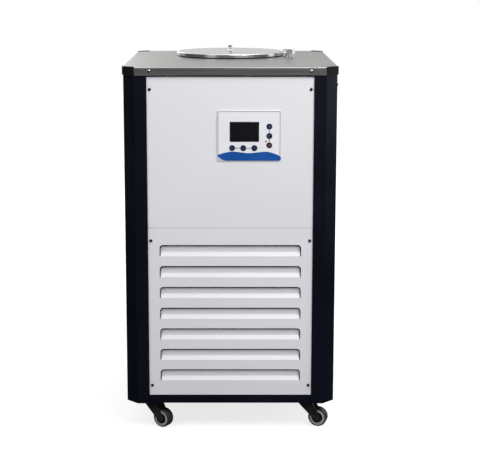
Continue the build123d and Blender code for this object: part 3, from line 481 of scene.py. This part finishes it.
# %% [markdown]
# ## Moulded plastic and rubber
# The corner caps are moulded in black plastic with a fine spark-eroded texture, which keeps them black from all sides.
# The rubber of the tyres carries the dust of the floor. Each wheel's hub is grey plastic round a black bearing, and the
# bearing is a mask round the axle, whose direction is found from the hub's own mesh.
# %% Caps and gland
cap_plastic = plain("black moulded plastic", (0.004, 0.004, 0.005), 0.6, Specular_IOR_Level=0.2)
worked(cap_plastic, skin, 0.5, 0.0002, ((0.003, 0.003, 0.004), (0.005, 0.005, 0.006)), (0.52, 0.7),
       Bumps=1400.0, Drift=30.0)
wear(cap_plastic, "corner_caps", "power_inlet")

# %% Gasket, feet and tyres
rubber = plain("black rubber", (0.009, 0.009, 0.009), 0.62, Specular_IOR_Level=0.35)
worked(rubber, skin, 0.4, 0.0002, ((0.007, 0.007, 0.007), (0.013, 0.013, 0.013)), (0.55, 0.75),
       Bumps=1100.0, Drift=40.0)
wear(rubber, "lid_gasket", "compressor_feet")
tyre_rubber = plain("tyre rubber", (0.012, 0.012, 0.012), 0.55, Specular_IOR_Level=0.4)
worked(tyre_rubber, skin, 0.4, 0.0002, ((0.008, 0.008, 0.009), (0.018, 0.018, 0.018)), (0.45, 0.7),
       Bumps=900.0, Drift=60.0)
dusty(tyre_rubber, (0.16, 0.15, 0.14), 0.06, 0.35)
places = ("front_left", "front_right", "rear_left", "rear_right")
wear(tyre_rubber, *["caster_tyre_" + name for name in places])

# %% Caster steel
caster_black = plain("black caster steel", (0.01, 0.01, 0.011), 0.32, Coat_Weight=0.3, Coat_Roughness=0.2)
worked(caster_black, skin, 0.2, 0.0002, ((0.008, 0.008, 0.009), (0.018, 0.018, 0.019)), (0.26, 0.42),
       Bumps=900.0, Drift=50.0)
dusty(caster_black, (0.14, 0.13, 0.12), 0.09, 0.2)
wear(caster_black, "caster_plates", *["caster_fork_" + name for name in places])


# %% Hubs, each with its own axle
def axle_axis(hub):
    """The direction of a hub's axle: of all level ones, that which most of its surface looks along."""
    weights = {}
    for face in hub.data.polygons:
        if abs(face.normal.z) < 1e-3:
            key = (round(abs(face.normal.x), 2), round(face.normal.y * math.copysign(1, face.normal.x), 2))
            weights[key] = weights.get(key, 0) + face.area
    x, y = max(weights, key=weights.get)
    return Vector((x, y, 0)).normalized()


bearing_radius, bearing_black = 0.0145, (0.006, 0.006, 0.006, 1)
for name in places:
    low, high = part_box("caster_hub_" + name)
    hub_plastic = plain("grey hub plastic " + name.replace("_", " "), (0.36, 0.36, 0.36), 0.45)
    worked(hub_plastic, skin, 0.3, 0.0002, ((0.31, 0.31, 0.31), (0.4, 0.4, 0.39)), (0.4, 0.55),
           Bumps=1100.0, Drift=60.0)
    dusty(hub_plastic, (0.2, 0.19, 0.17), 0.06, 0.2)
    tree = hub_plastic.node_tree
    base = tree.nodes["Principled BSDF"].inputs["Base Color"]
    mask = node(tree, "ShaderNodeGroup", node_tree=bearing)
    mask.inputs["Centre"].default_value = (low + high) / 2
    mask.inputs["Axis"].default_value = axle_axis(nodes["caster_hub_" + name])
    mask.inputs["Radius"].default_value = bearing_radius
    mix = node(tree, "ShaderNodeMix", data_type="RGBA")
    mix.inputs["B"].default_value = bearing_black
    tree.links.new(base.links[0].from_socket, mix.inputs["A"])
    tree.links.new(mask.outputs["Mask"], mix.inputs["Factor"])
    tree.links.new(mix.outputs["Result"], base)
    wear(hub_plastic, "caster_hub_" + name)

# %% [markdown]
# ## The control panel
# The panel is a printed film on a flat plate, satin and a touch whiter than the sheet behind it. Its window is smoked
# plastic over a dark display, and its keys are satin, navy for most and a dark red for the power key.
# %% Film, window and keys
film = plain("satin printed film", (0.82, 0.82, 0.85), 0.36)
worked(film, skin, 0.08, 0.0001, ((0.81, 0.81, 0.84), (0.83, 0.83, 0.86)), (0.32, 0.42), Bumps=1800.0, Drift=12.0)
wear(film, "control_fascia")
window = plain("smoked window", (0.005, 0.005, 0.006), 0.14, Specular_IOR_Level=0.4)
worked(window, skin, 0.02, 0.0001, ((0.004, 0.004, 0.005), (0.007, 0.007, 0.008)), (0.1, 0.17),
       Bumps=400.0, Drift=20.0)
wear(window, "display_window")
navy_key = plain("navy key", (0.004, 0.012, 0.042), 0.4, Specular_IOR_Level=0.25)
worked(navy_key, skin, 0.05, 0.0001, ((0.0035, 0.01, 0.036), (0.0045, 0.014, 0.048)), (0.35, 0.46),
       Bumps=1500.0, Drift=90.0)
wear(navy_key, "button_row_1", "button_row_2", "button_row_3", "button_column_1", "button_column_2")
red_key = plain("dark red key", (0.045, 0.004, 0.007), 0.4, Specular_IOR_Level=0.25)
worked(red_key, skin, 0.05, 0.0001, ((0.04, 0.0035, 0.006), (0.05, 0.0045, 0.008)), (0.35, 0.46),
       Bumps=1500.0, Drift=90.0)
wear(red_key, "button_column_3")

# %% [markdown]
# ## Inside the cabinet
# Little of the cold circuit shows through the louvres, but each inner piece still gets what it is made of: drawn
# copper, pressed aluminium, cast iron, zinc plate and foam.
# %% Copper and brass
copper = plain("drawn copper", (0.72, 0.36, 0.22), 0.3, Metallic=1.0)
worked(copper, skin, 0.15, 0.0001, ((0.6, 0.27, 0.15), (0.78, 0.42, 0.27)), (0.22, 0.42), Bumps=300.0, Drift=25.0)
wear(copper, "evaporator_coil", "refrigerant_pipes", "coolant_pipes")
brass = plain("turned brass", (0.72, 0.56, 0.28), 0.26, Metallic=1.0)
worked(brass, skin, 0.1, 0.0001, ((0.6, 0.45, 0.2), (0.78, 0.63, 0.34)), (0.2, 0.38), Bumps=900.0, Drift=70.0)
wear(brass, "outlet_nozzle", "return_nozzle", "drain_valve")

# %% Aluminium fins, fan blades and zinc plate
fins = plain("fin aluminium", (0.7, 0.71, 0.72), 0.35, Metallic=1.0)
worked(fins, brushing, 0.4, 0.0004, ((0.55, 0.56, 0.57), (0.76, 0.77, 0.78)), (0.3, 0.45),
       Stretch=(450.0, 4.0, 4.0))
wear(fins, "condenser")
pressed = plain("pressed aluminium", (0.55, 0.56, 0.57), 0.4, Metallic=1.0)
worked(pressed, skin, 0.1, 0.0002, ((0.48, 0.49, 0.5), (0.62, 0.63, 0.64)), (0.34, 0.5), Bumps=400.0, Drift=20.0)
wear(pressed, "fan_blades")
zinc = plain("zinc plate", (0.5, 0.51, 0.52), 0.42, Metallic=0.9)
worked(zinc, skin, 0.15, 0.0002, ((0.4, 0.41, 0.42), (0.6, 0.61, 0.62)), (0.34, 0.55), Bumps=200.0, Drift=45.0)
wear(zinc, "fan_shroud", "electrical_box")

# %% Black compressor, painted motors, cast pump
black_gloss = plain("compressor paint", (0.01, 0.01, 0.01), 0.24, Coat_Weight=0.3, Coat_Roughness=0.1)
worked(black_gloss, skin, 0.15, 0.0002, ((0.008, 0.008, 0.008), (0.015, 0.015, 0.015)), (0.2, 0.34),
       Bumps=250.0, Drift=12.0)
wear(black_gloss, "compressor")
motor_paint = plain("motor paint", (0.05, 0.07, 0.1), 0.4)
worked(motor_paint, skin, 0.2, 0.0002, ((0.04, 0.055, 0.08), (0.06, 0.085, 0.12)), (0.34, 0.5),
       Bumps=500.0, Drift=30.0)
wear(motor_paint, "fan_motor", "pump_motor")
cast_iron = plain("painted casting", (0.1, 0.14, 0.2), 0.55)
worked(cast_iron, skin, 0.8, 0.0006, ((0.07, 0.1, 0.15), (0.12, 0.17, 0.24)), (0.45, 0.65), Bumps=350.0, Drift=30.0)
wear(cast_iron, "circulation_pump")

# %% Foam and the dipped valve handle
foam = plain("insulation foam", (0.7, 0.64, 0.42), 0.85)
worked(foam, skin, 1.0, 0.0015, ((0.6, 0.54, 0.33), (0.76, 0.7, 0.5)), (0.8, 0.92), Bumps=220.0, Drift=8.0)
wear(foam, "tank_insulation")
dipped = plain("dipped vinyl", (0.4, 0.02, 0.015), 0.34, Coat_Weight=0.3, Coat_Roughness=0.2)
worked(dipped, skin, 0.15, 0.0002, ((0.34, 0.015, 0.012), (0.46, 0.028, 0.02)), (0.28, 0.42),
       Bumps=300.0, Drift=50.0)
wear(dipped, "drain_lever")
print(len(bpy.data.materials), "materials")

# %% [markdown]
# ## Turning a bmesh into a piece
# Every piece below is built in metres where it belongs, so its object can stay at the origin, as the solids do. One
# helper turns a finished bmesh into an object, smooths the faces that meet gently, and makes the piece ride on a body.
# %% A helper that keeps a piece
def keep(shape, name, finish, body="cabinet", gentle=35):
    """Make an object of a bmesh, in its place, with a material and the body that carries it."""
    bmesh.ops.remove_doubles(shape, verts=shape.verts, dist=1e-6)
    bmesh.ops.recalc_face_normals(shape, faces=shape.faces)
    for face in shape.faces:
        face.smooth = True
    for edge in shape.edges:
        edge.smooth = len(edge.link_faces) == 2 and edge.calc_face_angle(0) < math.radians(gentle)
    mesh = bpy.data.meshes.new(name)
    shape.to_mesh(mesh)
    shape.free()
    mesh.materials.append(finish)
    made = bpy.data.objects.new(name, mesh)
    scene.collection.objects.link(made)
    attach(made, body)
    return made


def spun(outline, steps=24):
    """A closed turned shape on the Z axis, from an outline of (radius, height) that starts and ends on the axis."""
    shape = bmesh.new()
    ring = [shape.verts.new((r, 0, z)) for r, z in outline]
    edges = [shape.edges.new(pair) for pair in zip(ring, ring[1:])]
    bmesh.ops.spin(shape, geom=ring + edges, cent=(0, 0, 0), axis=(0, 0, 1), angle=math.tau, steps=steps,
                   use_merge=True)
    bmesh.ops.remove_doubles(shape, verts=shape.verts, dist=1e-6)
    bmesh.ops.recalc_face_normals(shape, faces=shape.faces)
    return shape


def slab(shape, centre, size, turn=0.0):
    """Add a box to a bmesh: its centre, its size, and a turn in degrees in the plane of the front."""
    place = Matrix.Translation(centre) @ Matrix.Rotation(math.radians(turn), 4, "Y") @ Matrix.Diagonal((*size, 1))
    bmesh.ops.create_cube(shape, size=1.0, matrix=place)


# %% [markdown]
# ## Cross-recessed screws
# A pan head screw catches the light on its rounded edge, and a black cross of shadow sits in its middle. The head is
# one outline spun round, and the cross is cut by two tapered blades with a Boolean, once. The finished screw is then
# copied to every place that the solids give: each screw there is a loose part, and its box tells where it points.
# %% One screw
def cut_away(shape, cutters, name):
    """A mesh with each cutter, a bmesh too, taken away from it."""
    target = bpy.data.objects.new(name, bpy.data.meshes.new(name))
    shape.to_mesh(target.data)
    scene.collection.objects.link(target)
    blades = []
    for cutter in cutters:
        blade = bpy.data.objects.new("blade", bpy.data.meshes.new("blade"))
        cutter.to_mesh(blade.data)
        scene.collection.objects.link(blade)
        step = target.modifiers.new("cut", "BOOLEAN")
        step.operation, step.object, step.solver = "DIFFERENCE", blade, "EXACT"
        blades.append(blade)
    ready = bpy.data.meshes.new_from_object(target.evaluated_get(bpy.context.evaluated_depsgraph_get()))
    for old in (target, *blades):
        bpy.data.objects.remove(old)
    return ready


head_mm = 2.6
screw_outline = [(0, -9), (1.7, -9), (2.0, -8.6), (2.0, 0), (3.85, 0), (4.0, 0.15), (4.0, 0.8), (3.8, 1.45),
                 (3.3, 2.05), (2.4, 2.45), (1.2, head_mm), (0, head_mm)]
blank = spun([(r / 1000, z / 1000) for r, z in screw_outline], steps=20)
blade_size, blade_height, blade_taper, cross_turn = (0.0046, 0.00085, 0.003, 1), 0.0027, 0.35, 25
blades = []
for turn in (0, 90):
    blade = bmesh.new()
    place = Matrix.Rotation(math.radians(turn + cross_turn), 4, "Z") @ Matrix.Translation((0, 0, blade_height))
    verts = bmesh.ops.create_cube(blade, size=1.0, matrix=place @ Matrix.Diagonal(blade_size))["verts"]
    low = [v for v in verts if v.co.z < blade_height]
    bmesh.ops.scale(blade, vec=(blade_taper, blade_taper, 1), verts=low)
    blades.append(blade)
one_screw = cut_away(blank, blades, "one screw")
print("a screw has", len(one_screw.polygons), "faces")


# %% Find each screw's place and copy the finished one there
def loose_parts(name):
    """The lowest and highest corner of each loose part of a solid."""
    shape = bmesh.new()
    shape.from_mesh(nodes[name].data)
    bmesh.ops.remove_doubles(shape, verts=shape.verts, dist=1e-6)
    left, boxes = set(shape.verts), []
    while left:
        edge_of_part = [left.pop()]
        part = list(edge_of_part)
        while edge_of_part:
            near = {e.other_vert(v) for v in edge_of_part for e in v.link_edges} & left
            left -= near
            part += near
            edge_of_part = list(near)
        boxes.append(([min(v.co[k] for v in part) for k in range(3)],
                      [max(v.co[k] for v in part) for k in range(3)]))
    shape.free()
    return boxes


def screws(name, finish):
    """Stand finished screws in for a solid that is all screws."""
    made = bmesh.new()
    for low, high in loose_parts(name):
        centre = (Vector(low) + Vector(high)) / 2
        along = max(range(3), key=lambda k: high[k] - low[k])
        outward = Vector([0, 0, 0])
        outward[along] = math.copysign(1, centre[along])
        seat = centre.copy()
        seat[along] += outward[along] * ((high[along] - low[along]) / 2 - head_mm / 1000)
        copy = one_screw.copy()
        copy.transform(Matrix.Translation(seat) @ outward.to_track_quat("Z", "Y").to_matrix().to_4x4())
        made.from_mesh(copy)
        bpy.data.meshes.remove(copy)
    piece = keep(made, name + "_finished", finish)
    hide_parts(name)


screws("panel_screws", black_screw)
screws("skirt_screws", bright_screw)

# %% [markdown]
# ## The print on the control panel
# A thin grey line frames the film, fine lines join the keys of each group, and a blue wave fills its lower edge. They
# are printed, so in the model each is a skin a tenth of a millimetre thick. The wave starts as one row of a grid. Its
# upper edge is a slow ripple that falls off at both ends, and its lower edge lifts towards the left into a point.
# %% Inks
line_ink = plain("grey line ink", (0.4, 0.4, 0.42), 0.4)
worked(line_ink, skin, 0.05, 0.0001, ((0.37, 0.37, 0.39), (0.43, 0.43, 0.45)), (0.36, 0.46),
       Bumps=1800.0, Drift=40.0)
wave_ink = plain("mid blue ink", (0.003, 0.075, 0.33), 0.5, Specular_IOR_Level=0.3)
worked(wave_ink, skin, 0.08, 0.0001, ((0.002, 0.066, 0.3), (0.004, 0.085, 0.36)), (0.45, 0.55),
       Bumps=1800.0, Drift=30.0)
dark_ink = plain("slate ink", (0.05, 0.06, 0.1), 0.4)
worked(dark_ink, skin, 0.05, 0.0001, ((0.045, 0.055, 0.09), (0.06, 0.07, 0.11)), (0.36, 0.46),
       Bumps=1800.0, Drift=40.0)
pale_ink = plain("pale symbol ink", (0.14, 0.18, 0.26), 0.4)
worked(pale_ink, skin, 0.05, 0.0001, ((0.12, 0.16, 0.24), (0.16, 0.2, 0.28)), (0.36, 0.46),
       Bumps=1800.0, Drift=80.0)
film_low, film_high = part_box("control_fascia")
print_skin = 0.0001


def printed(shape):
    """Give a flat print in the XZ plane its thickness, on the front of the film."""
    flat = list(shape.faces)
    raised = bmesh.ops.extrude_face_region(shape, geom=flat)["geom"]
    verts = [v for v in raised if isinstance(v, bmesh.types.BMVert)]
    bmesh.ops.translate(shape, vec=(0, -print_skin, 0), verts=verts)
    return shape


# %% The frame line
line_width, line_inset = 0.0022, 0.0012
border = bmesh.new()
wide, tall = film_high.x - film_low.x - 2 * line_inset, film_high.z - film_low.z - 2 * line_inset
film_middle = (film_low + film_high) / 2
print_y = film_low.y - print_skin / 2
for side in (-1, 1):
    slab(border, (film_middle.x, print_y, film_middle.z + side * (tall - line_width) / 2),
         (wide, print_skin, line_width))
    slab(border, (film_middle.x + side * (wide - line_width) / 2, print_y, film_middle.z),
         (line_width, print_skin, tall - 2 * line_width))
keep(border, "film_border", line_ink)


# %% The wave
def wave_edges(u):
    """Heights of the wave's two edges above the film's lower edge, where u runs from -1 to 1 across the film."""
    ripple = 21.5 - 2.0 * math.cos(math.tau * u / 1.05)
    tip, fall = (12.5, 6) if u < 0 else (7.4, 5)
    high = tip + (ripple - tip) * (1 - min(abs(u), 1.0) ** fall) ** 0.6
    low = 12.4 * (max(-u - 0.7, 0) / 0.3) ** 2 + 3.0 * (max(u - 0.93, 0) / 0.07) ** 2
    return low / 1000, high / 1000


wave = bmesh.new()
half_film = (film_high.x - film_low.x) / 2
bmesh.ops.create_grid(wave, x_segments=90, y_segments=1, size=1.0)
for vert in wave.verts:
    u = math.copysign(1 - (1 - abs(vert.co.x)) ** 1.4, vert.co.x)
    low, high = wave_edges(u)
    lift = low if vert.co.y < 0 else high
    vert.co = (film_middle.x + u * half_film, film_low.y, film_low.z + lift)
bmesh.ops.dissolve_degenerate(wave, dist=1e-6, edges=wave.edges)
bmesh.ops.translate(wave, vec=(0, -print_skin, 0), verts=wave.verts)
keep(printed(wave), "wave_band", wave_ink)

# %% [markdown]
# ## Keys, their lines and the lamp
# The keys are solids already, and each moves by itself, so what is printed on a key rides with that key. The symbols
# are the plain ones that any such machine has: a ring, up, down, a drop of light, a turning arrow and power. A small
# lamp beside the power key is a dark lens, since the machine is off.
# %% Lines that join the keys
key_span, join_width, stroke_width = 0.0166, 0.0016, 0.0008
joins = bmesh.new()
middles = {}
for name in ("row_1", "row_2", "row_3", "column_1", "column_2", "column_3"):
    low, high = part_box("button_" + name)
    middles[name] = Vector(((low.x + high.x) / 2, low.y, (low.z + high.z) / 2))
for first, second in (("row_1", "row_2"), ("row_2", "row_3"), ("column_1", "column_2"), ("column_2", "column_3")):
    start, end = middles[first], middles[second]
    middle = (start + end) / 2
    span = (end - start).length - key_span
    across = abs(start.x - end.x) > abs(start.z - end.z)
    slab(joins, (middle.x, print_y, middle.z),
         (span, print_skin, join_width) if across else (join_width, print_skin, span))
keep(joins, "key_lines", dark_ink)


# %% Symbols
def bars(shape, middle, *strokes):
    """Straight strokes on a key, each as (x, z, length, turn) in millimetres and degrees."""
    for x, z, length, turn in strokes:
        slab(shape, (middle.x + x / 1000, middle.y - print_skin / 2, middle.z + z / 1000),
             (length / 1000, print_skin, stroke_width), turn)


def arc(shape, middle, radius, start, sweep):
    """A curved stroke on a key: a short line spun in the plane of the front, then thickened."""
    flat = bmesh.new()
    half_width = stroke_width * 1000 / 2
    inner = flat.verts.new((radius - half_width, 0, 0))
    outer = flat.verts.new((radius + half_width, 0, 0))
    edge = flat.edges.new((inner, outer))
    bmesh.ops.rotate(flat, verts=flat.verts, cent=(0, 0, 0), matrix=Matrix.Rotation(math.radians(-start), 3, "Y"))
    bmesh.ops.spin(flat, geom=[inner, outer, edge], cent=(0, 0, 0), axis=(0, -1, 0), angle=math.radians(sweep),
                   steps=24)
    bmesh.ops.scale(flat, vec=(0.001,) * 3, verts=flat.verts)
    bmesh.ops.translate(flat, vec=middle, verts=flat.verts)
    bmesh.ops.remove_doubles(flat, verts=flat.verts, dist=1e-7)
    printed(flat)
    kept = bpy.data.meshes.new("arc")
    flat.to_mesh(kept)
    flat.free()
    shape.from_mesh(kept)
    bpy.data.meshes.remove(kept)


def symbol(name, strokes=(), arcs=()):
    """The symbol of one key, on the body that the key is."""
    shape = bmesh.new()
    bars(shape, middles[name], *strokes)
    for values in arcs:
        arc(shape, middles[name], *values)
    keep(shape, "symbol_" + name, pale_ink, body="key_" + name)


symbol("row_1", arcs=[(2.6, 0, 360)])
symbol("row_2", [(-1.35, 0, 4.4, -42), (1.35, 0, 4.4, 42)])
symbol("row_3", [(-1.35, 0, 4.4, 42), (1.35, 0, 4.4, -42)])
symbol("column_1", [(0, 0, 6.4, 90), (0, 0, 6.4, 30), (0, 0, 6.4, -30)])
symbol("column_2", [(2.9, 1.4, 2.0, 20), (-2.9, -1.4, 2.0, 20)], [(2.6, 20, 150), (2.6, 200, 150)])
symbol("column_3", [(0, 2.2, 3.4, 90)], [(2.9, 125, 290)])

# %% The lamp
lens = plain("dark lamp lens", (0.03, 0.05, 0.045), 0.12, Coat_Weight=0.6, Coat_Roughness=0.05)
worked(lens, skin, 0.02, 0.0001, ((0.025, 0.042, 0.038), (0.04, 0.06, 0.055)), (0.1, 0.18),
       Bumps=900.0, Drift=200.0)
lamp_left, lamp_up = 0.0088, 0.0103
lens_outline = [(0, 0), (2.1, 0), (2.1, 0.35), (1.8, 0.75), (1.1, 1.05), (0, 1.15)]
dome = spun([(r / 1000, z / 1000) for r, z in lens_outline], steps=28)
turned = Matrix.Translation((middles["column_3"].x - lamp_left, film_low.y, middles["column_3"].z + lamp_up)) @ \
    Matrix.Rotation(math.radians(90), 4, "X")
bmesh.ops.transform(dome, matrix=turned, verts=dome.verts)
keep(dome, "status_lamp", lens)
print("keys", {name: [round(c, 4) for c in middle] for name, middle in middles.items()})

# %% [markdown]
# ## A black block over the condenser, painted shade
# A block of black foam closes the way between the top of the condenser's fins and the space above. It keeps daylight
# from the rear louvres out of the front ones, and its black is painted shade that stands in for the dark inside of the
# cabinet.
# %% Black block on the condenser, painted shade
shade_block_black = plain("black shade block", (0.01, 0.01, 0.01), 0.8, Specular_IOR_Level=0.2)
worked(shade_block_black, skin, 0.5, 0.0004, ((0.006, 0.006, 0.006), (0.014, 0.014, 0.014)), (0.7, 0.9),
       Bumps=600.0, Drift=60.0)
shade_block_size, shade_block_rise = (0.34, 0.034, 0.026), 0.0135
core_low, core_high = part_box("condenser")
shade_block = bmesh.new()
# The black of this block is painted shade: it stands in for the dark inside of the cabinet, seen through the louvres.
slab(shade_block, (0, (core_low.y + core_high.y) / 2, core_high.z + shade_block_rise), shade_block_size)
keep(shade_block, "condenser_shade_block", shade_block_black)
